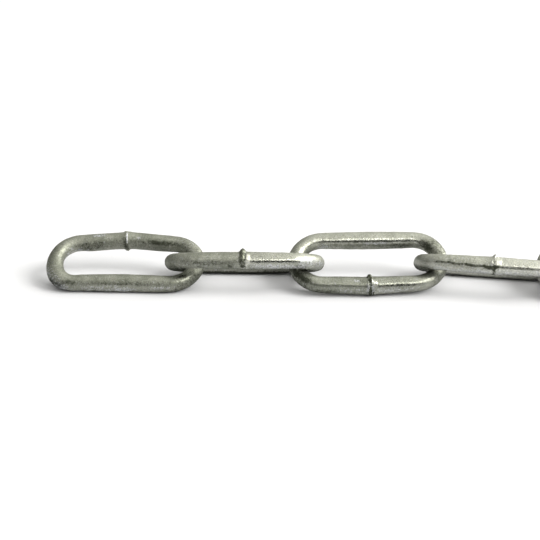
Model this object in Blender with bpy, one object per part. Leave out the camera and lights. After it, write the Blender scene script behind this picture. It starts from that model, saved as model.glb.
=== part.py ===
"""One metre of long-link steel chain, lying straight on a floor.

Every link is an endless oval of round wire, butt-welded in the middle of one side.
The links lean to the left and to the right in turn, as a chain does when it is laid
down, and each one hangs in the bend of the link before it.
Units are metres, +Z is up and the chain runs along X.
"""
import math
import random
from dataclasses import dataclass

import bpy
import numpy as np
from mathutils import Euler, Matrix, Vector

# The chain
LINK_COUNT = 24
WIRE_RADIUS = 0.0029
BEND_WIRE_RADIUS = 0.0027
OUTSIDE_WIDTH = 0.024
INSIDE_LENGTH = 0.042
CONTACT_GAP = 0.00044

# The weld: a low collar in the middle of one side
COLLAR_HEIGHT = 0.0004
COLLAR_HALF_LENGTH = 0.0013

# How finely a link is divided
WIRE_SIDES = 12
BEND_STEPS = 8
FINE_STEPS = 60

# The lie of the links past the first four
LEAN = 30.5
LEAN_SPREAD = 0.7
YAW_SWING = 3.0
YAW_PERIOD = 12.0
YAW_SPREAD = 0.4
LENGTH_SPREAD = 0.0003
WIDTH_SPREAD = 0.0003
BOW_MOST = 0.0012
SEED = 6

# The swing axes, turned this share of the way from the wire of the bend to the normal of
# the link that swings
HINGE_SHARE = 0.63
# The sense changes after every second link, so that the chain bends to and fro
HINGE_SENSES = (1, -1, -1, 1)

# The zinc coat
ZINC_COLOUR = (0.42, 0.43, 0.41, 1.0)
ZINC_ROUGHNESS = 0.5


@dataclass
class Link:
    """Size and lie of one link. A lean of more than 0 lifts the side at +Y."""

    length: float      # inside length
    width: float       # outside width where the bends end
    bow: float         # how far the welded side bows out at the weld
    weld_side: int     # +1 for the side at +Y, -1 for the side at -Y
    lean: float
    yaw: float
    shift: float       # how far it sits sideways in the bend before it
    centre: Vector = None

    @property
    def bend_radius(self):
        """Of the middle of the wire."""
        return self.width / 2 - WIRE_RADIUS

    @property
    def half_length(self):
        return self.length / 2 + BEND_WIRE_RADIUS

    @property
    def straight(self):
        return self.half_length - self.bend_radius

    @property
    def turn(self):
        return Euler((self.lean, 0, self.yaw)).to_matrix()

    @property
    def heading(self):
        return Vector((math.cos(self.yaw), math.sin(self.yaw), 0))


def seen_links():
    """The four links in the photograph, from the left."""
    return [
        Link(0.0426, 0.0234, 0.0013, 1, math.radians(24.8), math.radians(-2.1), 0.0),
        Link(0.0430, 0.0242, 0.0001, -1, math.radians(-29.5), math.radians(-0.6), -0.0007),
        Link(0.0429, 0.0240, 0.0006, -1, math.radians(28.2), math.radians(1.5), -0.0007),
        Link(0.0422, 0.0240, 0.0001, -1, math.radians(-28.7), math.radians(-9.0), -0.0003),
    ]


def unseen_link(index, chance):
    """A link past the photograph's edge, with small differences of its own."""
    side = 1 if index % 2 == 0 else -1
    lean = LEAN + chance.uniform(-LEAN_SPREAD, LEAN_SPREAD)
    wave = math.sin(2 * math.pi * index / YAW_PERIOD)
    yaw = YAW_SWING * wave + chance.uniform(-YAW_SPREAD, YAW_SPREAD)
    length = INSIDE_LENGTH + chance.uniform(-LENGTH_SPREAD, LENGTH_SPREAD)
    width = OUTSIDE_WIDTH + chance.uniform(-WIDTH_SPREAD, WIDTH_SPREAD)
    bow = chance.uniform(0, BOW_MOST)
    weld_side = chance.choice((-1, 1))
    return Link(length, width, bow, weld_side, side * math.radians(lean), math.radians(yaw), 0.0)


def bend(link, end, steps):
    """One round end, from the side at +Y to the side at -Y."""
    angles = [math.pi * (0.5 - step / steps) for step in range(steps + 1)]
    radius = link.bend_radius
    return [(end * (link.straight + radius * math.cos(a)), radius * math.sin(a)) for a in angles]


def bar(link, side, stations):
    """One side at the given stations along the link, bowed out to its weld."""
    bow = link.bow if side == link.weld_side else 0
    return [
        (x, side * (link.bend_radius + bow * (1 - abs(x) / link.straight)))
        for x in stations
    ]


def centreline(link, steps, stations):
    """The closed middle line of the wire in the link's own plane.

    stations maps each side, +1 and -1, to its places along the link, largest first.
    """
    right = bend(link, 1, steps)
    left = bend(link, -1, steps)
    there = bar(link, -1, stations[-1])
    back = bar(link, 1, reversed(stations[1]))
    return right + there + left[::-1] + back


def mesh_stations(link):
    """Rings on the two sides: one in the middle, and three for the weld's collar."""
    collar = (COLLAR_HALF_LENGTH, 0.0, -COLLAR_HALF_LENGTH)
    return {link.weld_side: collar, -link.weld_side: (0.0,)}


def fine_line(link, end):
    """Closely spaced points of one half of the middle line, about the link's centre."""
    stations = np.linspace(link.straight, 0, FINE_STEPS)[1:]
    points = bend(link, 1, FINE_STEPS) + bar(link, 1, stations) + bar(link, -1, stations)
    flat = np.array([(end * x, y, 0) for x, y in points])
    return flat @ np.array(link.turn).T


def rest_height(link):
    """Height of the link's centre with its low side on the floor."""
    low_side = -1 if link.lean > 0 else 1
    reach = link.bend_radius
    below = WIRE_RADIUS
    if link.weld_side == low_side:
        reach += link.bow
        below += COLLAR_HEIGHT
    return below + reach * math.sin(abs(link.lean))


def wire_gap(line_a, line_b):
    """Clear distance at the bends of two wires whose middle lines are given as points."""
    apart = line_a[:, None, :] - line_b[None, :, :]
    return math.sqrt((apart ** 2).sum(axis=2).min()) - 2 * BEND_WIRE_RADIUS


def seat(link, before):
    """Draw the link up to the right until it hangs in the bend of the one before."""
    along = (before.heading + link.heading).normalized()
    across = Vector((-along.y, along.x, 0))
    held = fine_line(before, 1) + np.array(before.centre)
    loose = fine_line(link, -1)
    start = before.centre + before.heading * before.half_length - along * 2 * BEND_WIRE_RADIUS
    start += link.heading * link.half_length + across * link.shift
    start.z = rest_height(link)
    near, far = 0.0, 2 * BEND_WIRE_RADIUS
    for _ in range(16):
        slack = (near + far) / 2
        centre = start - along * slack
        if wire_gap(held, loose + np.array(centre)) < CONTACT_GAP:
            near = slack
        else:
            far = slack
    link.centre = start - along * far


def middle_of(links):
    """Middle of the box of all links, on Z = 0."""
    lines = [fine_line(link, end) + np.array(link.centre) for link in links for end in (-1, 1)]
    points = np.vstack(lines)
    middle = (points.min(axis=0) + points.max(axis=0)) / 2
    return Vector((middle[0], middle[1], 0))


def lay_out():
    """All links, hung one in the other, centred on the origin and standing on Z = 0."""
    chance = random.Random(SEED)
    links = seen_links()
    links += [unseen_link(index, chance) for index in range(len(links), LINK_COUNT)]
    links[0].centre = Vector((0, 0, rest_height(links[0])))
    for before, link in zip(links, links[1:]):
        seat(link, before)
    middle = middle_of(links)
    for link in links:
        link.centre -= middle
    return links


def hinge_point(before, link):
    """The middle of the wire, at the place in the bend where the next link hangs."""
    across = Vector((-before.heading.y, before.heading.x, 0))
    return before.centre + before.heading * before.half_length + across * link.shift


def hinge_axis(before, link):
    """Between the wire of the bend and the normal of the link that swings on it."""
    wire = before.turn @ Vector((0, 1, 0))
    normal = link.turn @ Vector((0, 0, 1))
    if wire.dot(normal) < 0:
        normal.negate()
    return wire.lerp(normal, HINGE_SHARE).normalized()


def zinc_material():
    material = bpy.data.materials.new("galvanised_steel")
    material.use_nodes = True
    shader = material.node_tree.nodes["Principled BSDF"]
    shader.inputs["Base Color"].default_value = ZINC_COLOUR
    shader.inputs["Metallic"].default_value = 1.0
    shader.inputs["Roughness"].default_value = ZINC_ROUGHNESS
    material.diffuse_color = ZINC_COLOUR
    return material


def wire_curve(name, link, origin, material):
    """The link's wire as a closed round curve, in the axes of the link at its origin.

    The bending has drawn the wire a little thinner at the two ends.
    """
    stations = mesh_stations(link)
    points = centreline(link, BEND_STEPS, stations)
    weld = bar(link, link.weld_side, (0.0,))[0]
    offset = link.turn.transposed() @ (link.centre - origin)
    curve = bpy.data.curves.new(name, "CURVE")
    curve.dimensions = "3D"
    curve.twist_mode = "Z_UP"
    curve.bevel_depth = WIRE_RADIUS
    curve.bevel_resolution = (WIRE_SIDES - 4) // 2
    curve.use_fill_caps = False
    curve.materials.append(material)
    spline = curve.splines.new("POLY")
    spline.points.add(len(points) - 1)
    spline.use_cyclic_u = True
    for point, (x, y) in zip(spline.points, points):
        point.co = (offset.x + x, offset.y + y, offset.z, 1)
        wire = BEND_WIRE_RADIUS if abs(x) > link.straight / 2 else WIRE_RADIUS
        if (x, y) == weld:
            wire += COLLAR_HEIGHT
        point.radius = wire / WIRE_RADIUS
    return curve


def build():
    material = zinc_material()
    links = lay_out()
    before = None
    holder = None
    for index, link in enumerate(links):
        name = f"link_{index + 1:02d}"
        origin = hinge_point(before, link) if before else link.centre
        piece = bpy.data.objects.new(name, wire_curve(name, link, origin, material))
        bpy.context.scene.collection.objects.link(piece)
        placed = Matrix.Translation(origin) @ link.turn.to_4x4()
        piece.matrix_basis = placed
        if before:
            piece.parent = holder[0]
            piece.matrix_parent_inverse = holder[1].inverted()
            sense = HINGE_SENSES[(index - 1) % len(HINGE_SENSES)]
            piece["hinge_axis"] = sense * hinge_axis(before, link)
        before = link
        holder = (piece, placed)


for old in list(bpy.data.objects):
    bpy.data.objects.remove(old)
build()
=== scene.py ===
"""One metre of hot-dip galvanised long-link chain on a pale studio floor.

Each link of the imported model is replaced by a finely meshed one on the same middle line:
round wire with the lumps of its zinc coat, and a butt weld with the burr that it leaves.
Metres, +Z is up, the chain runs along X and the camera looks along +Y.

A place on a link is given by its side (FAR for the bar at +Y, NEAR for the bar at -Y, BOTH
for either), x in mm along the link from its middle, and an angle in degrees around the wire,
from straight up at rest, over the side at -Y. It belongs to the link and turns with it.
"""
import itertools
import math
import random
from dataclasses import dataclass

import bpy
import numpy as np
from mathutils import Matrix, Vector


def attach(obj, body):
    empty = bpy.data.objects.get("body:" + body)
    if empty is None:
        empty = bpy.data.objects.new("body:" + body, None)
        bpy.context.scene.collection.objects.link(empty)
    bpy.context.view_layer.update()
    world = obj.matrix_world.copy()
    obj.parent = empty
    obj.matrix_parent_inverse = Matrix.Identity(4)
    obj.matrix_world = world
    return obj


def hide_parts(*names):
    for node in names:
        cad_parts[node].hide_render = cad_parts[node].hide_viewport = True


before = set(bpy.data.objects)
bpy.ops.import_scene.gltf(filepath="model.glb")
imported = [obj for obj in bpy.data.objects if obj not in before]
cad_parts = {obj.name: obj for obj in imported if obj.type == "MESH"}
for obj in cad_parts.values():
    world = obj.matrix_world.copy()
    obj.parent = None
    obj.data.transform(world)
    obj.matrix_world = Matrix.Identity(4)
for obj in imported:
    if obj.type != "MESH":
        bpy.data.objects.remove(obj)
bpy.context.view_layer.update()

MM = 0.001
FAR, NEAR, BOTH = 1, -1, 0

# The wire with its zinc
WIRE_RADIUS = 2.88 * MM
BEND_WIRE_RADIUS = 2.64 * MM
BEND_INSET = 0.1 * MM           # how much further in than the CAD's the bends lie
FLOOR_CLEARANCE = 0.02 * MM     # no point lies lower

# Points along and around the wire, for a link in the photograph and for one past its edge
SEEN_STEPS = (680, 104)
UNSEEN_STEPS = (170, 48)

# How a link is read from the CAD's mesh
CAD_DECIMALS = 7                # points that agree in these are one
END_SHARE = 0.8                 # an end of the link starts past this share of its half length
TOP_BAND = 0.3 * MM             # half widths of the bands that hold the tops of the bends,
WELD_BAND = 2 * MM              # the rings of the weld
MIDDLE_BAND = 0.5 * MM          # and the middle ring of each bar

# The middle line of a link
STRETCH_POINTS = 200            # in each bend and bar, before all points are made even
LINE_POINTS = 2400
KINK_REACH = 0.7 * MM           # its kinks are rounded off this far
AHEAD_POINTS = 3                # its direction is taken over this many points to either side
CORNER_ANGLE = -52              # where the low left corner lies, in degrees from -X
CORNER_SPREAD = 40
WELD_CROWDING = 1.6             # how much closer together the wire's rings are at the weld
CROWDING_REACH = 4 * MM

# Layers of noise: height, grain in mm, and a shift that sets the layer apart. The heights of
# the coat are in mm, and the others are parts of what they roughen
COAT_LUMPS = ((0.035, 7, 0), (0.030, 2.2, 1), (0.018, 0.9, 2), (0.010, 0.45, 5))
BURR_CREST = ((0.45, 0.9, 0), (0.35, 0.45, 7))
BURR_CRUMBS = ((1, 0.4, 19),)
KNOB_LUMPS = ((0.3, 0.5, 11),)
EDGE_ALONG = ((1, 1.1, 23), (0.8, 0.45, 29))
EDGE_AROUND = ((1, 1.3, 31), (0.8, 0.5, 37))

# The weld
CREST_LEVEL = 0.55              # the even part of the burr's crest
CREST_LIMITS = (0.1, 1.5)
KNOB_LEVEL = 0.8                # the even part of a knob
BURR_WANDER = 0.25 * MM         # how far the burr strays along the wire
WANDER_GRAIN = 2.5 * MM
WANDER_SHIFT = 3
CRUMB_REACH = 1.1 * MM
SWELL_REACH = 2.2 * MM
STEP_RISE = 0.5 * MM            # the step in the wire's thickness comes over this length
STEP_FALL = 5 * MM              # and goes over this one

# The ragged edge of a zone: the most that it strays, and the most as a share of the zone's
# size, along the wire in mm and around it in degrees
STRAY_ALONG = (0.4, 0.4)
STRAY_AROUND = (8, 0.35)
SIDE_BLEND = 4                  # one bar's zones run into the other's over this width, in mm

# The photograph's viewpoint, found by fitting the links' outlines
CAMERA_HEIGHT_ANGLE = 25.288
CAMERA_SIDE_ANGLE = -2.113
CAMERA_ROLL = -0.901
CAMERA_DISTANCE = 0.510
CAMERA_LENS = 102.589
CAMERA_SENSOR = 36
CAMERA_CLIP = (0.01, 50)
CAMERA_TARGET = Vector((-0.419166, -0.000477, 0.007))

# The room: dark towards the camera and pale elsewhere, darker at the left and brighter at the
# right, and darker low down except behind the chain. The limits are parts of a direction from
# the chain: y away from the camera, x to the right, z up
ROOM_DARK, ROOM_PALE = 0.05, 1.22
ROOM_FRONT = (-0.92, -0.55)
ROOM_LEFT, ROOM_RIGHT = 0.40, 1.25
ROOM_ACROSS = (-0.7, 0.5)
ROOM_LOW = 0.2
ROOM_HEIGHT = (0.05, 0.45)
ROOM_BEHIND = (0.2, 0.6)
ROOM_TINT = (1.0, 1.0, 0.93, 1)
BACKDROP_COLOUR = (0.60, 0.60, 0.60, 1)     # what the camera sees of the room

FLOOR_COLOUR = (0.61, 0.61, 0.645, 1)
FLOOR_ROUGHNESS = 0.8
FLOOR_SPECULAR = 0.2
FLOOR_REACH = 30.0              # to each side, so that its edge isn't in sight

LAMP_TINT = (1.0, 0.99, 0.94)

# The finishes that a place on the wire can have. The tarnish finish is dark tarnish and also
# painted shade on the undersides, and bright also paints highlights beside the welds. Each
# goes from 0 to 1, or to FINISH_MOST where it stands out, as the painted highlights do
FINISHES = ("tarnish", "frost", "gloss", "bright")
FINISH_MOST = 1.5

# The patterns of the zinc: size, detail, and a shift that sets the pattern apart
ZINC_GRAIN = (0.3 * MM, 3.0)
ZINC_PATCH = (0.9 * MM, 5.0)
ZINC_BLOOM = (0.55 * MM, 5.0, (0.3, 0.1, 0.2))
ZINC_SPECKLE = (0.22 * MM, 2.0, (0.2, 0.4, 0.1))
ZINC_CLOUD = (5 * MM, 3.0)

# The zinc's colours. The last one dims the reflection on surfaces that turn away from view
ZINC_DARK = (0.22, 0.228, 0.19, 1)
ZINC_LIGHT = (0.46, 0.465, 0.41, 1)
ZINC_FROST = (0.50, 0.51, 0.53, 1)
# The stain's colour, which is also the colour of the painted shade under the wires
ZINC_STAIN_AND_SHADE = (0.06, 0.064, 0.048, 1)
EDGE_TINT = (0.6, 0.6, 0.6, 1)

# The dark stain, which also paints the shade under the wires: the shares of what it is made
# of, and the limits between none and all
STAIN_PATCH = 0.70
STAIN_SPECKLE = 0.30
STAIN_TARNISH_AND_SHADE = 0.6
SPECKLE_LIMITS = (0.3, 0.7)
STAIN_AND_SHADE_LIMITS = (0.57, 1.08)
# The pale haze, in the same way
HAZE_FROST = 0.4
HAZE_LIMITS = (0.60, 0.95)
# How far the tone drifts towards dark and light, and how much the grain darkens and lightens
CLOUD_LIMITS = (0.35, 0.65)
CLOUD_SWING = 0.16
GRAIN_LIMITS = (0.32, 0.68)
GRAIN_SHADE = 0.16
GRAIN_FROST = 0.35              # how much more it does so on frosted zinc

# Roughness of dull and of glossy zinc, and what the patches, the haze and the stain with its
# painted shade add to it
ROUGH_DULL = 0.60
ROUGH_SHINY = 0.22
PATCH_LIMITS = (0.3, 0.7)
ROUGH_PATCH = 0.05
ROUGH_HAZE = 0.10
ROUGH_STAIN_AND_SHADE = 0.08

# The fine bumps of the coat
BUMP_HEIGHT = 0.05 * MM
BUMP_BLOOM = 1.6                # the bloom's share, beside the grain's of 1
BUMP_STRENGTH = (0.5, 1.0)      # on plain and on frosted zinc


@dataclass
class SoftBox:
    """A rectangular lamp that points at the middle of the picture."""

    name: str
    tilt: float         # from straight up, in degrees
    turn: float         # from the camera's side towards +X, in degrees
    distance: float
    width: float
    height: float
    brightness: float   # as seen in a mirror


SOFT_BOXES = (
    SoftBox("strip", 51.0, 22.0, 3.0, 2.70, 0.40, 6.2),
    SoftBox("main", 51.0, 76.0, 2.4, 1.25, 1.25, 14.5),
    SoftBox("side", 68.0, 122.0, 3.0, 0.90, 0.90, 9.0),
)


@dataclass
class Knob:
    """A drop of steel on the weld, or a dent in it where the height is below 0."""

    angle: float
    height: float       # in mm
    spread: float       # around the wire, in degrees
    offset: float       # along the wire from the weld, in mm
    half_width: float   # along the wire, in mm


@dataclass
class Weld:
    """The butt weld and its burr."""

    at: float           # its place along the bar, in mm
    ring: float         # height of the burr all round, in mm
    width: float        # half its width, in mm
    swell: float        # how much thicker the wire is beside it, in mm
    step: float         # how much thicker the wire is on the right than on the left, in mm
    crumbs: float       # height of the crumbs at the burr, in mm
    knobs: tuple


@dataclass
class Zone:
    """A stretch of the wire with more of a finish, or less where the amount is below 0. Some
    are painted shade or highlights.
    """

    finish: str
    side: int
    x: float
    reach: float        # along the link, in mm
    angle: float
    spread: float       # around the wire, in degrees
    amount: float


@dataclass
class Lump:
    """A run or drop of zinc."""

    side: int
    x: float
    angle: float
    height: float       # in mm
    reach: float        # along the link, in mm
    spread: float       # around the wire, in degrees


@dataclass
class Look:
    """What sets one link apart from the others."""

    weld: Weld
    finish: tuple       # tarnish, frost, gloss and bright all over
    zones: tuple
    lumps: tuple = ()
    hollow: float = 0.0     # how far the side without the weld bows, in mm
    reach: float = 0.0      # how much further out the left end lies, in mm
    corner: float = 0.0     # how much further out the low left corner lies, in mm


SEEN_LOOKS = {
    "link_01": Look(
        weld=Weld(-0.7, 0.22, 0.26, 0.20, 0.0, 0.06, (
            Knob(-25, 0.25, 30, -0.5, 0.4),
            Knob(150, 0.65, 24, 0.0, 0.85),
            Knob(60, 0.15, 70, 0.0, 0.25),
        )),
        finish=(0.08, 0.15, 0.0, 0.25),
        zones=(
            Zone("tarnish", FAR, -13, 5.5, 96, 26, 0.50),
            Zone("tarnish", FAR, -1.6, 0.5, 70, 60, 0.3),
            Zone("tarnish", FAR, -1.3, 0.5, -20, 22, 0.7),
            # Painted shade on the lower part of the weld's ridge
            Zone("tarnish", FAR, -0.7, 0.8, 112, 25, 0.5),
            Zone("tarnish", FAR, 0, 20, 62, 18, 0.2),
            Zone("tarnish", FAR, 0, 12, 150, 20, -0.25),
            Zone("tarnish", FAR, 4, 7, 92, 30, 0.22),
            Zone("tarnish", FAR, 9, 1.0, 65, 12, 0.6),
            Zone("tarnish", FAR, 13, 5, 68, 16, 0.55),
            Zone("tarnish", FAR, 23, 4, 60, 85, 0.25),
            Zone("frost", FAR, -17, 1.2, 118, 14, 0.9),
            Zone("frost", FAR, -14.5, 0.8, 128, 14, 0.8),
            Zone("frost", FAR, -10, 3, 12, 14, 0.5),
            # This frost and the bright zone below paint a highlight line along the weld's
            # ridge
            Zone("frost", FAR, -0.6, 0.3, 45, 35, 1.0),
            Zone("frost", FAR, 3.5, 0.8, 46, 10, 0.7),
            Zone("frost", FAR, 20, 4, 20, 40, 0.15),
            # Painted highlight along the weld's ridge
            Zone("bright", FAR, -0.6, 0.3, 45, 45, 0.8),
            # Painted contact shade under the low left bend
            Zone("tarnish", NEAR, -24, 5, 155, 28, 0.4),
            Zone("tarnish", NEAR, -23, 4, 105, 40, 0.75),
            Zone("tarnish", NEAR, -17.5, 2, 62, 18, 0.45),
            Zone("tarnish", NEAR, -9.5, 0.6, 120, 25, 0.4),
            Zone("tarnish", NEAR, -2, 15, 70, 15, 0.3),
            Zone("tarnish", NEAR, 0, 8, 74, 6, 0.15),
            # Painted contact shade along the underside of the near bar
            Zone("tarnish", NEAR, 0, 23, 167, 26, 1.0),
            Zone("tarnish", NEAR, 15, 4, 130, 22, 0.35),
            Zone("tarnish", NEAR, 21, 4, 100, 60, 0.45),
            Zone("frost", NEAR, -24, 4, 85, 50, 0.45),
            Zone("frost", NEAR, -22, 4, 125, 35, 0.6),
            Zone("frost", NEAR, -8, 9, 112, 26, 0.35),
            Zone("frost", NEAR, 1, 4, 118, 18, 0.5),
            Zone("frost", NEAR, 13, 4, 100, 14, 0.4),
            Zone("gloss", NEAR, 19, 3, 40, 22, 0.8),
            Zone("frost", BOTH, -22, 3.5, 120, 45, 0.4),
            Zone("gloss", BOTH, -25, 4, 0, 70, 0.3),
            Zone("bright", BOTH, -25, 4, 0, 70, -0.2),
            Zone("bright", BOTH, 0, 22, 62, 24, -0.25),
        ),
        lumps=(
            Lump(FAR, -13, 140, 0.40, 8, 45),
            Lump(FAR, 13, 140, 0.20, 8, 45),
            Lump(NEAR, 0, 145, 0.20, 24, 45),
            Lump(NEAR, -22, 0, 0.45, 4, 400),
        ),
        hollow=-0.2,
        reach=0.25,
        corner=0.85,
    ),
    "link_02": Look(
        weld=Weld(0.0, 0.08, 0.6, 0.10, 0.05, 0.12, (
            Knob(-14, 1.05, 27, 0.0, 1.0),
            Knob(30, 0.3, 60, -0.2, 0.7),
            Knob(52, 0.28, 42, 1.5, 0.8),
            Knob(112, -0.45, 10, 0.4, 0.5),
            Knob(75, -0.25, 70, 0.9, 0.35),
        )),
        finish=(0.08, 0.2, 0.2, 0.3),
        zones=(
            # Painted shade on the far bar's lower side, under the raised near bar
            Zone("tarnish", FAR, 0, 30, 145, 30, 0.8),
            Zone("tarnish", NEAR, -14, 1.0, 115, 14, 0.5),
            Zone("tarnish", NEAR, -11, 9, 84, 18, 0.48),
            Zone("tarnish", NEAR, -4, 0.9, 113, 14, 0.6),
            Zone("tarnish", NEAR, 0.0, 1.1, 30, 66, 0.65),
            # Painted shade in the dent below the weld
            Zone("tarnish", NEAR, 0.1, 0.7, 108, 12, 0.9),
            Zone("tarnish", NEAR, 10, 8, 78, 8, 0.12),
            Zone("tarnish", NEAR, 17.5, 0.8, 105, 12, 0.5),
            Zone("frost", NEAR, 10.5, 8.5, 118, 26, 0.5),
            Zone("gloss", NEAR, 1.9, 0.8, 55, 40, -0.4),
            Zone("gloss", NEAR, 10, 10, 55, 60, 0.75),
            Zone("bright", NEAR, -9, 9, 112, 36, -0.3),
            Zone("bright", NEAR, 0.2, 1.2, 10, 70, -0.7),
            # Painted highlights on the lip beside the weld
            Zone("bright", NEAR, 1.4, 0.25, 100, 60, 0.8),
            Zone("bright", NEAR, 1.9, 0.8, 55, 40, 0.9),
            Zone("bright", NEAR, 12, 11, 30, 50, 0.65),
            Zone("tarnish", BOTH, -21, 3, 130, 30, 0.3),
            # Painted contact shade along the undersides
            Zone("tarnish", BOTH, 0, 30, 167, 26, 1.0),
            Zone("frost", BOTH, 21, 3.5, 90, 60, 0.5),
        ),
    ),
    "link_03": Look(
        weld=Weld(0.2, 0.10, 0.45, 0.15, 0.08, 0.20, (
            Knob(-10, 1.1, 22, -0.1, 0.78),
            Knob(25, 0.3, 40, 0.4, 0.5),
            Knob(50, 0.28, 25, 1.5, 0.7),
            Knob(110, -0.35, 50, 0.3, 0.3),
            Knob(130, 0.2, 40, 1.2, 0.5),
        )),
        finish=(0.05, 0.2, 0.5, 0.75),
        zones=(
            Zone("tarnish", FAR, -3, 17, 115, 30, 0.25),
            Zone("tarnish", FAR, 0, 18, 74, 8, 0.6),
            Zone("tarnish", FAR, 11.5, 2.5, 105, 18, 0.4),
            Zone("tarnish", FAR, 15, 0.5, 42, 8, 0.6),
            Zone("tarnish", FAR, 20, 3, 80, 30, 0.55),
            Zone("frost", FAR, -14.5, 2, 110, 25, 0.5),
            Zone("frost", FAR, 3, 4, 88, 8, 0.7),
            Zone("gloss", FAR, 0, 20, 58, 30, 0.35),
            Zone("bright", FAR, 0, 20, 130, 45, -0.6),
            Zone("tarnish", NEAR, -23, 4, 90, 85, 0.55),
            Zone("tarnish", NEAR, -15, 4, 130, 22, 0.3),
            Zone("tarnish", NEAR, -10, 11, 118, 22, 0.3),
            Zone("tarnish", NEAR, -2.5, 1.2, 45, 22, 0.4),
            # Painted contact shade along the underside of the near bar
            Zone("tarnish", NEAR, 0, 23, 167, 26, 1.0),
            Zone("tarnish", NEAR, 0.2, 0.9, 0, 42, 1.0),
            Zone("tarnish", NEAR, 0.3, 0.4, 115, 50, 0.9),
            Zone("tarnish", NEAR, 0.3, 1.2, 95, 60, 0.4),
            Zone("tarnish", NEAR, 1.3, 0.2, 125, 30, 0.7),
            Zone("frost", NEAR, -6, 5, 110, 20, 0.25),
            Zone("frost", NEAR, -4, 1.0, 36, 10, 0.7),
            Zone("frost", NEAR, 0.5, 1.2, 100, 60, 0.6),
            Zone("frost", NEAR, 8, 7, 108, 20, 0.35),
            Zone("gloss", NEAR, -10, 8, 45, 40, 0.1),
            Zone("gloss", NEAR, 9, 9, 52, 30, 0.35),
            Zone("bright", NEAR, -12, 10, 110, 60, -0.4),
            Zone("bright", NEAR, 0, 20, 50, 90, -0.58),
            # Painted highlight beside the weld
            Zone("bright", NEAR, 1.7, 0.7, 50, 25, 1.5),
            Zone("tarnish", BOTH, -21, 2.5, 55, 18, 0.5),
            Zone("tarnish", BOTH, 24, 4, 50, 90, 0.4),
            Zone("bright", BOTH, -24, 5, 0, 180, -0.3),
            Zone("bright", BOTH, 24, 4, 50, 90, -0.35),
        ),
        lumps=(
            Lump(FAR, 0, 145, 0.22, 26, 45),
            Lump(NEAR, -4, 145, 0.25, 20, 45),
        ),
    ),
    "link_04": Look(
        weld=Weld(0.6, 0.05, 0.70, 0.15, 0.05, 0.18, (
            Knob(-8, 0.75, 24, 0.3, 0.85),
            Knob(42, 0.26, 44, 1.2, 1.0),
            Knob(75, -0.35, 14, 0.0, 0.6),
            Knob(65, -0.25, 10, -1.3, 0.4),
            Knob(85, -0.25, 10, 1.3, 0.4),
        )),
        finish=(0.05, 0.3, 0.5, 0.72),
        zones=(
            Zone("tarnish", NEAR, -15, 3, 62, 9, 0.7),
            Zone("tarnish", NEAR, -10, 3, 68, 9, 0.7),
            Zone("tarnish", NEAR, -5, 3, 72, 9, 0.75),
            Zone("tarnish", NEAR, -1.5, 1.5, 80, 14, 0.7),
            Zone("tarnish", NEAR, -0.3, 1.6, 88, 12, 0.5),
            Zone("tarnish", NEAR, 0.3, 2.2, 74, 10, 0.8),
            Zone("tarnish", NEAR, 0.8, 0.5, 110, 60, 0.7),
            Zone("tarnish", NEAR, 8, 8, 74, 9, 0.5),
            Zone("frost", NEAR, 0, 20, 125, 30, 0.3),
            Zone("gloss", NEAR, -10, 9, 50, 60, -0.45),
            Zone("gloss", NEAR, 12, 10, 50, 60, 0.2),
            Zone("bright", NEAR, -10, 9, 60, 30, -0.3),
            # Painted highlight beside the weld
            Zone("bright", NEAR, 1.6, 1.3, 40, 40, 1.5),
            Zone("bright", NEAR, 12, 10, 30, 60, 0.8),
            Zone("tarnish", BOTH, -22, 3, 130, 28, 0.55),
            # Painted contact shade along the undersides
            Zone("tarnish", BOTH, 0, 30, 167, 26, 1.0),
        ),
    ),
}


def unseen_look(index):
    """A look for a link past the photograph's edge, of the same kinds as the seen ones."""
    chance = random.Random(index)
    between = chance.uniform
    knobs = tuple(
        Knob(
            angle=between(60, 300), height=between(0.3, 0.9), spread=between(20, 50),
            offset=between(-0.6, 0.6), half_width=between(0.6, 1.1),
        )
        for _ in range(3)
    )
    weld = Weld(
        at=between(-0.8, 0.8), ring=between(0.15, 0.3), width=between(0.35, 0.6),
        swell=between(0.1, 0.2), step=between(-0.07, 0.07), crumbs=between(0.05, 0.14),
        knobs=knobs,
    )
    side = chance.choice((-1, 1))
    beside = weld.at + 1.8
    zones = [
        Zone("tarnish", BOTH, weld.at, 0.8, between(0, 360), 90, 0.6),
        # A painted highlight beside the weld, as on the seen links, at a random angle
        Zone("bright", BOTH, beside, 0.8, between(0, 360), 50, 0.8),
        Zone("tarnish", side, between(-12, 12), between(6, 16), between(60, 100), 14, 0.6),
        Zone("tarnish", -side, between(-12, 12), between(6, 16), between(-100, -60), 14, 0.6),
        # Painted contact shade along the undersides
        Zone("tarnish", BOTH, 0, 30, 165, 26, 0.8),
    ]
    for finish, count, least, most in (("tarnish", 8, 0.5, 4), ("frost", 10, 0.8, 7)):
        zones += [
            Zone(
                finish, side=chance.choice((-1, 1)), x=between(-26, 26),
                reach=between(least, most), angle=between(-180, 180),
                spread=between(10, 35), amount=between(0.35, 0.75),
            )
            for _ in range(count)
        ]
    shine = between(0, 1)
    finish = (0.06, between(0.15, 0.3), 0.5 * shine, 0.28 + 0.42 * shine)
    lumps = tuple(
        Lump(
            side=chance.choice((-1, 1)), x=between(-18, 18), angle=between(-180, 180),
            height=between(0.1, 0.3), reach=12, spread=45,
        )
        for _ in range(3)
    )
    return Look(weld, finish, tuple(zones), lumps, hollow=between(-0.2, 0.2))


@dataclass
class Link:
    """Where a CAD link lies and how long it is, read from its mesh."""

    centre: np.ndarray
    along: np.ndarray
    across: np.ndarray
    normal: np.ndarray
    half_length: float
    bend_radius: float
    bow: float
    weld_side: int

    @property
    def straight(self):
        """Half the length of a bar."""
        return self.half_length - self.bend_radius


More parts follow.
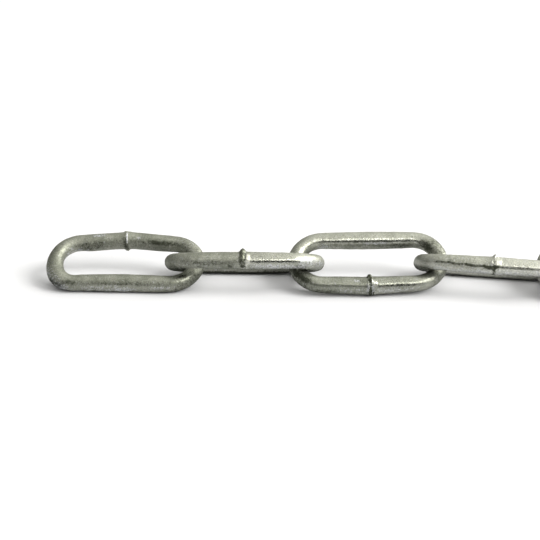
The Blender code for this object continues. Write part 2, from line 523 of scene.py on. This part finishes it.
@dataclass
class Wire:
    """The grid of points of one link's wire, ring by ring, each value a long row."""

    rings: int
    sides: int
    points: np.ndarray
    facing: np.ndarray      # away from the middle of the wire
    x: np.ndarray           # along the link from its middle, in mm
    y: np.ndarray           # across the link from its middle, in mm
    away: np.ndarray        # along the wire from the weld, towards +X, in metres
    angle: np.ndarray


def measure(node):
    """Read a link's middle, axes and sizes from the points of its CAD mesh."""
    points = np.array([vertex.co for vertex in node.data.vertices], float)
    points = np.unique(points.round(CAD_DECIMALS), axis=0)
    middle = points.mean(axis=0)
    axes = np.linalg.eigh(np.cov((points - middle).T))[1]
    along = axes[:, 2] * np.sign(axes[0, 2])
    across = axes[:, 1] * np.sign(axes[1, 1])
    normal = np.cross(along, across)
    local = (points - middle) @ np.stack((along, across, normal), axis=1)
    x, y = local[:, 0], local[:, 1]
    x_middle = (x.min() + x.max()) / 2
    ends = abs(x - x_middle) > END_SHARE * (x.max() - x_middle)
    y_middle = (y[ends].min() + y[ends].max()) / 2
    x, y = x - x_middle, y - y_middle
    half_length = x[(abs(y) < TOP_BAND) & (x > 0)].mean() - BEND_INSET
    at_weld = abs(x) < WELD_BAND
    weld_side = FAR if (at_weld & (y > 0)).sum() > (at_weld & (y < 0)).sum() else NEAR
    ring = abs(x) < MIDDLE_BAND
    bend_radius = abs(y[ring & (y * weld_side < 0)].mean())
    bow = abs(y[ring & (y * weld_side > 0)].mean()) - bend_radius
    centre = middle + along * x_middle + across * y_middle
    return Link(centre, along, across, normal, half_length, bend_radius, bow, weld_side)


class Noise:
    """Smooth random values in space, between -1 and 1."""

    SIZE = 32

    def __init__(self, seed):
        chance = np.random.default_rng(seed)
        self.table = chance.uniform(-1, 1, (self.SIZE,) * 3)

    def __call__(self, points, grain, shift):
        place = (points + shift) / grain
        cell = np.floor(place).astype(int)
        part = place - cell
        part = part * part * (3 - 2 * part)
        total = np.zeros(len(points))
        for corner in itertools.product((0, 1), repeat=3):
            share = np.ones(len(points))
            for axis in range(3):
                share = share * (part[:, axis] if corner[axis] else 1 - part[:, axis])
            at = (cell + corner) % self.SIZE
            total += share * self.table[at[:, 0], at[:, 1], at[:, 2]]
        return total

    def layers(self, points, layers, level=0.0):
        """A level with layers of noise on it."""
        for height, grain, shift in layers:
            level = level + height * self(points, grain * MM, shift)
        return level


def bump(value, half_width):
    """1 at 0, falling smoothly to 0 past half_width or so."""
    return np.exp(-(value / half_width) ** 2 * 2)


def plateau(value, half_width):
    """1 around 0 and 0 past half_width, with a soft edge."""
    return np.exp(-(value / half_width) ** 4)


def past(angle, where):
    """How far an angle lies past another, between -180 and 180 degrees."""
    return (angle - where + 180) % 360 - 180


def middle_line(link, look):
    """The wire's middle line in the link's own plane, closed, as close even points.

    It runs round the right bend, back along the near bar, round the left bend and along
    the far bar. The welded side bows out to the weld in two straight stretches.
    """
    straight, radius = link.straight, link.bend_radius
    turn = np.linspace(math.pi / 2, -math.pi / 2, STRETCH_POINTS)
    x_bend, y_bend = radius * np.cos(turn), radius * np.sin(turn)
    x_bar = np.linspace(straight, -straight, STRETCH_POINTS)[1:-1]
    rise = {
        link.weld_side: link.bow * (1 - abs(x_bar) / straight),
        -link.weld_side: look.hollow * MM * np.cos(x_bar / straight * math.pi / 2) ** 2,
    }
    corner = look.corner * MM * bump(np.degrees(turn[::-1]) - CORNER_ANGLE, CORNER_SPREAD)
    x_left = -straight - x_bend[::-1] - look.reach * MM * np.cos(turn) ** 0.5
    x_left -= corner * np.cos(turn)
    y_left = y_bend[::-1] + corner * np.sin(turn[::-1])
    x = np.concatenate((straight + x_bend, x_bar, x_left, x_bar[::-1]))
    y = np.concatenate((y_bend, -radius - rise[NEAR], y_left, (radius + rise[FAR])[::-1]))
    return even_points(soften(even_points(np.stack((x, y), axis=1)), KINK_REACH))


def line_length(line):
    """The length of a closed line."""
    return np.linalg.norm(np.roll(line, -1, axis=0) - line, axis=1).sum()


def even_points(line):
    """The same closed line with LINE_POINTS points at even distances."""
    closed = np.vstack((line, line[:1]))
    steps = np.linalg.norm(np.diff(closed, axis=0), axis=1)
    at = np.concatenate(((0,), np.cumsum(steps)))
    want = np.linspace(0, at[-1], LINE_POINTS, endpoint=False)
    return np.stack([np.interp(want, at, closed[:, axis]) for axis in (0, 1)], axis=1)


def soften(line, reach):
    """Average a closed line over a short reach, to round off its kinks."""
    offset = np.fft.fftfreq(LINE_POINTS, 1 / LINE_POINTS) * line_length(line) / LINE_POINTS
    weight = np.exp(-(offset / reach) ** 2 / 2)
    weight = np.fft.fft(weight / weight.sum())
    return np.stack(
        [np.fft.ifft(np.fft.fft(line[:, axis]) * weight).real for axis in (0, 1)], axis=1
    )


def stations(line, link, count):
    """Places along the line, closer together at the weld, and each point's way from it."""
    weld = link.weld_side * (link.bend_radius + link.bow)
    at_weld = np.argmin(np.hypot(line[:, 0], line[:, 1] - weld))
    half = LINE_POINTS // 2
    away = (np.arange(LINE_POINTS) - at_weld + half) % LINE_POINTS - half
    away = away * line_length(line) / LINE_POINTS * link.weld_side
    density = 1 + WELD_CROWDING * bump(away, CROWDING_REACH)
    total = np.concatenate(((0,), np.cumsum(density)))
    want = np.linspace(0, total[-1], count, endpoint=False)
    return np.interp(want, total, np.arange(LINE_POINTS + 1)), away


def sample(values, at):
    """Values of a closed row at fractional places."""
    low = np.floor(at).astype(int)
    part = at - low
    if values.ndim > 1:
        part = part[:, None]
    return values[low % len(values)] * (1 - part) + values[(low + 1) % len(values)] * part


def lay_wire(link, look, rings, sides):
    """The smooth round wire of a link, before its relief."""
    line = middle_line(link, look)
    at, away = stations(line, link, rings)
    flat = sample(line, at)
    ahead = np.roll(line, -AHEAD_POINTS, axis=0) - np.roll(line, AHEAD_POINTS, axis=0)
    ahead = sample(ahead, at)
    ahead /= np.linalg.norm(ahead, axis=1)[:, None]
    outward = np.stack((-ahead[:, 1], ahead[:, 0]), axis=1)
    share = np.clip(1 - abs(flat[:, 0]) / link.straight, 0, 1)
    radius = BEND_WIRE_RADIUS + (WIRE_RADIUS - BEND_WIRE_RADIUS) * np.sqrt(share)
    turn = np.linspace(0, 2 * math.pi, sides, endpoint=False)[None, :, None]
    plane = np.stack((link.along, link.across))
    facing = (outward @ plane)[:, None] * np.cos(turn) + link.normal * np.sin(turn)
    points = (link.centre + flat @ plane)[:, None] + facing * radius[:, None, None]
    facing = facing.reshape(-1, 3)
    return Wire(
        rings, sides, points.reshape(-1, 3), facing,
        x=np.repeat(flat[:, 0] / MM, sides),
        y=np.repeat(flat[:, 1] / MM, sides),
        away=np.repeat(sample(away, at) - look.weld.at * MM, sides),
        angle=np.degrees(np.arctan2(-facing[:, 1], facing[:, 2])),
    )


def weld_relief(weld, wire, noise):
    """How far the weld stands out of the wire, in metres."""
    points, away = wire.points, wire.away
    crest = np.clip(noise.layers(points, BURR_CREST, CREST_LEVEL), *CREST_LIMITS)
    shifted = away - BURR_WANDER * noise(points, WANDER_GRAIN, WANDER_SHIFT)
    relief = weld.ring * MM * bump(shifted, weld.width * MM) * crest
    relief += weld.crumbs * MM * bump(away, CRUMB_REACH) * noise.layers(points, BURR_CRUMBS)
    relief += weld.swell * MM * bump(away, SWELL_REACH)
    relief += weld.step * MM * (np.tanh(away / STEP_RISE) - np.tanh(away / STEP_FALL)) / 2
    for knob in weld.knobs:
        shape = bump(past(wire.angle, knob.angle), knob.spread)
        shape *= plateau(away - knob.offset * MM, knob.half_width * MM)
        relief += knob.height * MM * shape * noise.layers(points, KNOB_LUMPS, KNOB_LEVEL)
    return relief


def lump_relief(look, wire):
    """Runs and drops of zinc, in metres."""
    relief = np.zeros(len(wire.x))
    for lump in look.lumps:
        there = bump(wire.x - lump.x, lump.reach) * on_side(wire, lump.side)
        relief += lump.height * MM * there * bump(past(wire.angle, lump.angle), lump.spread)
    return relief


def on_side(wire, side):
    """Share of a side, 1 on its bar and falling to 0 across the bends."""
    if side == BOTH:
        return np.ones(len(wire.y))
    return np.clip(0.5 + side * wire.y / SIDE_BLEND, 0, 1)


def finishes(look, wire, noise):
    """Each finish's amount at every point. The zones have ragged edges."""
    along = noise.layers(wire.points, EDGE_ALONG)
    around = noise.layers(wire.points, EDGE_AROUND)
    most_along, share_along = STRAY_ALONG
    most_around, share_around = STRAY_AROUND
    amounts = {name: np.full(len(along), start) for name, start in zip(FINISHES, look.finish)}
    for zone in look.zones:
        x = wire.x + min(most_along, share_along * zone.reach) * along
        angle = wire.angle + min(most_around, share_around * zone.spread) * around
        there = plateau(x - zone.x, zone.reach) * on_side(wire, zone.side)
        there *= plateau(past(angle, zone.angle), zone.spread)
        amounts[zone.finish] += zone.amount * there
    return amounts


def make_link(name, index, material):
    """A detailed link in place of the CAD node of that name."""
    link = measure(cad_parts[name])
    look = SEEN_LOOKS.get(name) or unseen_look(index)
    rings, sides = SEEN_STEPS if name in SEEN_LOOKS else UNSEEN_STEPS
    wire = lay_wire(link, look, rings, sides)
    noise = Noise(index)
    relief = noise.layers(wire.points, COAT_LUMPS) * MM
    relief = relief + weld_relief(look.weld, wire, noise)
    relief += lump_relief(look, wire)
    wire.points += wire.facing * relief[:, None]
    wire.points[:, 2] = np.maximum(wire.points[:, 2], FLOOR_CLEARANCE)
    piece = tube(name + "_steel", wire)
    for finish, amount in finishes(look, wire, noise).items():
        layer = piece.data.attributes.new(finish, "FLOAT", "POINT")
        layer.data.foreach_set("value", np.clip(amount, 0, FINISH_MOST).astype(np.float32))
    piece.data.materials.append(material)
    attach(piece, name)
    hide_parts(name)


def tube(name, wire):
    """A closed tube whose rings of points follow each other."""
    ring = np.arange(wire.rings)[:, None] * wire.sides
    side = np.arange(wire.sides)[None, :]
    after_ring = np.roll(ring, -1, axis=0)
    after_side = np.roll(side, -1, axis=1)
    faces = np.stack(
        (ring + side, ring + after_side, after_ring + after_side, after_ring + side), axis=2
    ).reshape(-1, 4)
    mesh = bpy.data.meshes.new(name)
    mesh.vertices.add(len(wire.points))
    mesh.vertices.foreach_set("co", wire.points.astype(np.float32).ravel())
    mesh.loops.add(faces.size)
    mesh.loops.foreach_set("vertex_index", faces.ravel().astype(np.int32))
    mesh.polygons.add(len(faces))
    mesh.polygons.foreach_set("loop_start", np.arange(0, faces.size, 4, dtype=np.int32))
    mesh.update(calc_edges=True)
    mesh.validate()
    mesh.shade_smooth()
    return put(name, mesh)


def put(name, data):
    """A new object in the scene."""
    thing = bpy.data.objects.new(name, data)
    bpy.context.scene.collection.objects.link(thing)
    return thing


class Nodes:
    """Short calls that make the nodes of a material or of the world."""

    # The colour sockets of a Mix node
    MIX_LOW, MIX_HIGH, MIX_RESULT = 6, 7, 2

    def __init__(self, tree):
        self.tree = tree

    def make(self, kind, **settings):
        node = self.tree.nodes.new(kind)
        for name, value in settings.items():
            setattr(node, name, value)
        return node

    def feed(self, socket, value):
        """Link an output, or set a plain value."""
        if isinstance(value, bpy.types.NodeSocket):
            self.tree.links.new(value, socket)
        else:
            socket.default_value = value

    def attribute(self, name):
        return self.make("ShaderNodeAttribute", attribute_name=name).outputs["Fac"]

    def noise(self, place, size, detail, shift=(0, 0, 0)):
        moved = self.make("ShaderNodeVectorMath", operation="ADD")
        self.feed(moved.inputs[0], place)
        self.feed(moved.inputs[1], shift)
        node = self.make("ShaderNodeTexNoise")
        self.feed(node.inputs["Vector"], moved.outputs[0])
        node.inputs["Scale"].default_value = 1 / size
        node.inputs["Detail"].default_value = detail
        return node.outputs[0]

    def maths(self, operation, *values):
        node = self.make("ShaderNodeMath", operation=operation)
        for socket, value in zip(node.inputs, values):
            self.feed(socket, value)
        return node.outputs[0]

    def total(self, value, *terms):
        """A value plus each term times its share."""
        for term, share in terms:
            value = self.maths("MULTIPLY_ADD", term, share, value)
        return value

    def ramp(self, value, low, high, to_low=0.0, to_high=1.0):
        """A soft step from to_low to to_high as value goes from low to high."""
        node = self.make("ShaderNodeMapRange", interpolation_type="SMOOTHSTEP")
        for socket, given in zip(node.inputs, (value, low, high, to_low, to_high)):
            self.feed(socket, given)
        return node.outputs[0]

    def scaled(self, colour, share):
        node = self.make("ShaderNodeVectorMath", operation="SCALE")
        self.feed(node.inputs[0], colour)
        self.feed(node.inputs["Scale"], share)
        return node.outputs[0]

    def mix(self, share, low, high):
        """Mix two colours. A share of more than 1 goes on past the high one."""
        node = self.make("ShaderNodeMix", data_type="RGBA", clamp_factor=False)
        self.feed(node.inputs[0], share)
        self.feed(node.inputs[self.MIX_LOW], low)
        self.feed(node.inputs[self.MIX_HIGH], high)
        return node.outputs[self.MIX_RESULT]


def zinc():
    """Weathered galvanised steel: grey-green, with dark tarnish and pale frosted zinc, and
    painted shade and highlights.
    """
    material = bpy.data.materials.new("galvanised_steel_fine")
    material.use_nodes = True
    nodes = Nodes(material.node_tree)
    shader = material.node_tree.nodes["Principled BSDF"]
    place = nodes.make("ShaderNodeTexCoord").outputs["Object"]
    tarnish, frost, gloss, bright = (nodes.attribute(name) for name in FINISHES)
    grain = nodes.noise(place, *ZINC_GRAIN)
    patch = nodes.noise(place, *ZINC_PATCH)
    bloom = nodes.noise(place, *ZINC_BLOOM)

    speckle = nodes.ramp(nodes.noise(place, *ZINC_SPECKLE), *SPECKLE_LIMITS)
    # The tarnish finish brings in the painted shade under the wires as well as the tarnish
    stain_and_shade = nodes.maths("MULTIPLY", patch, STAIN_PATCH)
    stain_and_shade = nodes.total(stain_and_shade, (speckle, STAIN_SPECKLE), (tarnish, STAIN_TARNISH_AND_SHADE))
    stain_and_shade = nodes.ramp(stain_and_shade, *STAIN_AND_SHADE_LIMITS)
    haze = nodes.ramp(nodes.total(bloom, (frost, HAZE_FROST)), *HAZE_LIMITS)

    cloud = nodes.noise(place, *ZINC_CLOUD)
    tone = nodes.ramp(cloud, *CLOUD_LIMITS, -CLOUD_SWING, CLOUD_SWING)
    # Bright lightens the zinc, and past 1 it paints the highlights beside the welds
    colour = nodes.mix(nodes.maths("ADD", bright, tone), ZINC_DARK, ZINC_LIGHT)
    colour = nodes.mix(haze, colour, ZINC_FROST)
    # Towards the stain colour, which also paints the shade under the wires
    colour = nodes.mix(stain_and_shade, colour, ZINC_STAIN_AND_SHADE)
    depth = nodes.maths("MULTIPLY_ADD", frost, GRAIN_FROST, GRAIN_SHADE)
    lighter, darker = (nodes.maths(sign, 1.0, depth) for sign in ("ADD", "SUBTRACT"))
    shade = nodes.ramp(grain, *GRAIN_LIMITS, darker, lighter)
    nodes.feed(shader.inputs["Base Color"], nodes.scaled(colour, shade))

    rough = nodes.ramp(gloss, 0.0, 1.0, ROUGH_DULL, ROUGH_SHINY)
    uneven = nodes.ramp(patch, *PATCH_LIMITS, -ROUGH_PATCH, ROUGH_PATCH)
    rough = nodes.maths("ADD", rough, uneven)
    rough = nodes.total(rough, (haze, ROUGH_HAZE), (stain_and_shade, ROUGH_STAIN_AND_SHADE))
    nodes.feed(shader.inputs["Roughness"], rough)
    shader.inputs["Metallic"].default_value = 1.0
    shader.inputs["Specular Tint"].default_value = EDGE_TINT

    bumps = nodes.make("ShaderNodeBump")
    nodes.feed(bumps.inputs["Height"], nodes.total(grain, (bloom, BUMP_BLOOM)))
    bumps.inputs["Distance"].default_value = BUMP_HEIGHT
    nodes.feed(bumps.inputs["Strength"], nodes.ramp(frost, 0.0, 1.0, *BUMP_STRENGTH))
    nodes.feed(shader.inputs["Normal"], bumps.outputs["Normal"])
    return material


def pale_floor():
    material = bpy.data.materials.new("pale_floor")
    material.use_nodes = True
    shader = material.node_tree.nodes["Principled BSDF"]
    shader.inputs["Base Color"].default_value = FLOOR_COLOUR
    shader.inputs["Roughness"].default_value = FLOOR_ROUGHNESS
    shader.inputs["Specular IOR Level"].default_value = FLOOR_SPECULAR
    mesh = bpy.data.meshes.new("floor")
    reach = FLOOR_REACH
    corners = [(-reach, -reach, 0), (reach, -reach, 0), (reach, reach, 0), (-reach, reach, 0)]
    mesh.from_pydata(corners, [], [(0, 1, 2, 3)])
    mesh.materials.append(material)
    put("floor", mesh)


def camera():
    """The photograph's view."""
    height, side, roll = (
        math.radians(a) for a in (CAMERA_HEIGHT_ANGLE, CAMERA_SIDE_ANGLE, CAMERA_ROLL)
    )
    look = Vector((
        math.sin(side) * math.cos(height), math.cos(side) * math.cos(height), -math.sin(height)
    ))
    level_right = Vector((math.cos(side), -math.sin(side), 0))
    level_up = level_right.cross(look)
    right = level_right * math.cos(roll) + level_up * math.sin(roll)
    up = -level_right * math.sin(roll) + level_up * math.cos(roll)
    data = bpy.data.cameras.new("camera")
    data.lens = CAMERA_LENS
    data.sensor_width = CAMERA_SENSOR
    data.clip_start, data.clip_end = CAMERA_CLIP
    view = put("camera", data)
    axes = Matrix((right, up, -look)).transposed().to_4x4()
    view.matrix_world = Matrix.Translation(CAMERA_TARGET - look * CAMERA_DISTANCE) @ axes
    bpy.context.scene.camera = view


def lamp(box):
    """A soft box as an area light of even brightness."""
    tilt, turn = math.radians(box.tilt), math.radians(box.turn)
    towards = Vector((
        math.sin(turn) * math.sin(tilt), -math.cos(turn) * math.sin(tilt), math.cos(tilt)
    ))
    data = bpy.data.lights.new(box.name, "AREA")
    data.shape = "RECTANGLE"
    data.size, data.size_y = box.width, box.height
    data.energy = box.brightness * math.pi * box.width * box.height
    data.color = LAMP_TINT
    light = put(box.name, data)
    light.location = CAMERA_TARGET + towards * box.distance
    light.rotation_euler = (-towards).to_track_quat("-Z", "Y").to_euler()
    light.visible_camera = False


def room():
    """The light from all round. The camera itself sees a plain backdrop."""
    world = bpy.data.worlds.new("studio")
    bpy.context.scene.world = world
    world.use_nodes = True
    nodes = Nodes(world.node_tree)
    parts = nodes.make("ShaderNodeSeparateXYZ")
    nodes.feed(parts.inputs[0], nodes.make("ShaderNodeTexCoord").outputs["Generated"])
    x, y, z = parts.outputs
    depth = nodes.ramp(y, *ROOM_FRONT, ROOM_DARK, ROOM_PALE)
    across = nodes.ramp(x, *ROOM_ACROSS, ROOM_LEFT, ROOM_RIGHT)
    height = nodes.ramp(z, *ROOM_HEIGHT, ROOM_LOW, 1.0)
    lift = nodes.maths("MAXIMUM", height, nodes.ramp(y, *ROOM_BEHIND))
    strength = nodes.maths("MULTIPLY", nodes.maths("MULTIPLY", depth, across), lift)
    background = world.node_tree.nodes["Background"]
    background.inputs["Color"].default_value = ROOM_TINT
    nodes.feed(background.inputs["Strength"], strength)
    backdrop = nodes.make("ShaderNodeBackground")
    backdrop.inputs["Color"].default_value = BACKDROP_COLOUR
    mix = nodes.make("ShaderNodeMixShader")
    nodes.feed(mix.inputs[0], nodes.make("ShaderNodeLightPath").outputs["Is Camera Ray"])
    nodes.feed(mix.inputs[1], background.outputs[0])
    nodes.feed(mix.inputs[2], backdrop.outputs[0])
    nodes.feed(world.node_tree.nodes["World Output"].inputs["Surface"], mix.outputs[0])


def main():
    camera()
    pale_floor()
    room()
    for box in SOFT_BOXES:
        lamp(box)
    bpy.context.scene.view_settings.view_transform = "Standard"
    material = zinc()
    for index, name in enumerate(sorted(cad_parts)):
        make_link(name, index, material)


main()
